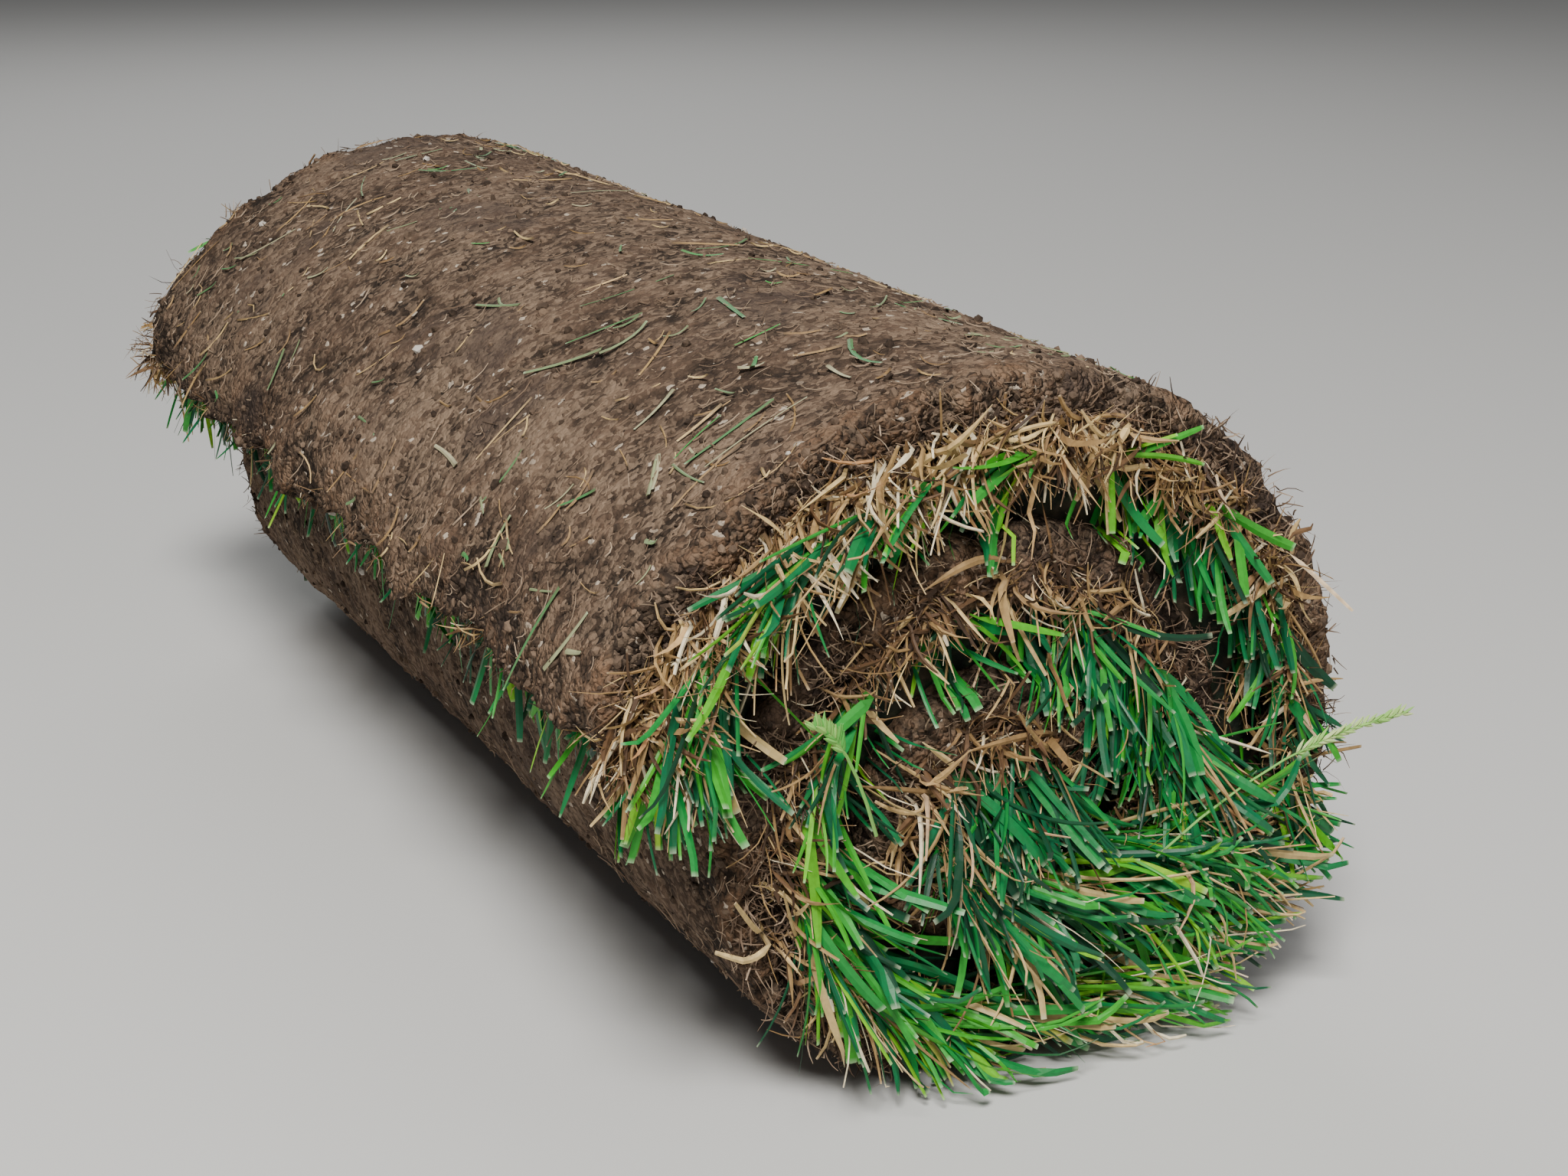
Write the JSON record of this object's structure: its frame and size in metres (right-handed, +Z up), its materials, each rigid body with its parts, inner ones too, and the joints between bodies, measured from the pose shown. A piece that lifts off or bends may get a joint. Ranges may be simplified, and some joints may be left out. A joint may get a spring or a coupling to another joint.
{
  "type": "roll of turf",
  "caption": "Slab of lawn turf wound grass side in: soil outside, spiral turns of soil, thatch and green blades on both ends, one free end standing off.",
  "frame": {"origin": "on the floor, under the middle of the roll's box", "axes": "+Y along the roll from the front end to the back end, +Z up, +X to the right seen from the front end; the free end is at -X"},
  "size_m": [0.3246, 0.64, 0.2682],
  "materials": {
    "soil": "damp rooted soil, crumbly and matt",
    "grass": "fresh mown blades and dry thatch"
  },
  "bodies": {
    "root": {"soil_mat": "soil", "sward": "grass"}
  },
  "joints": []
}
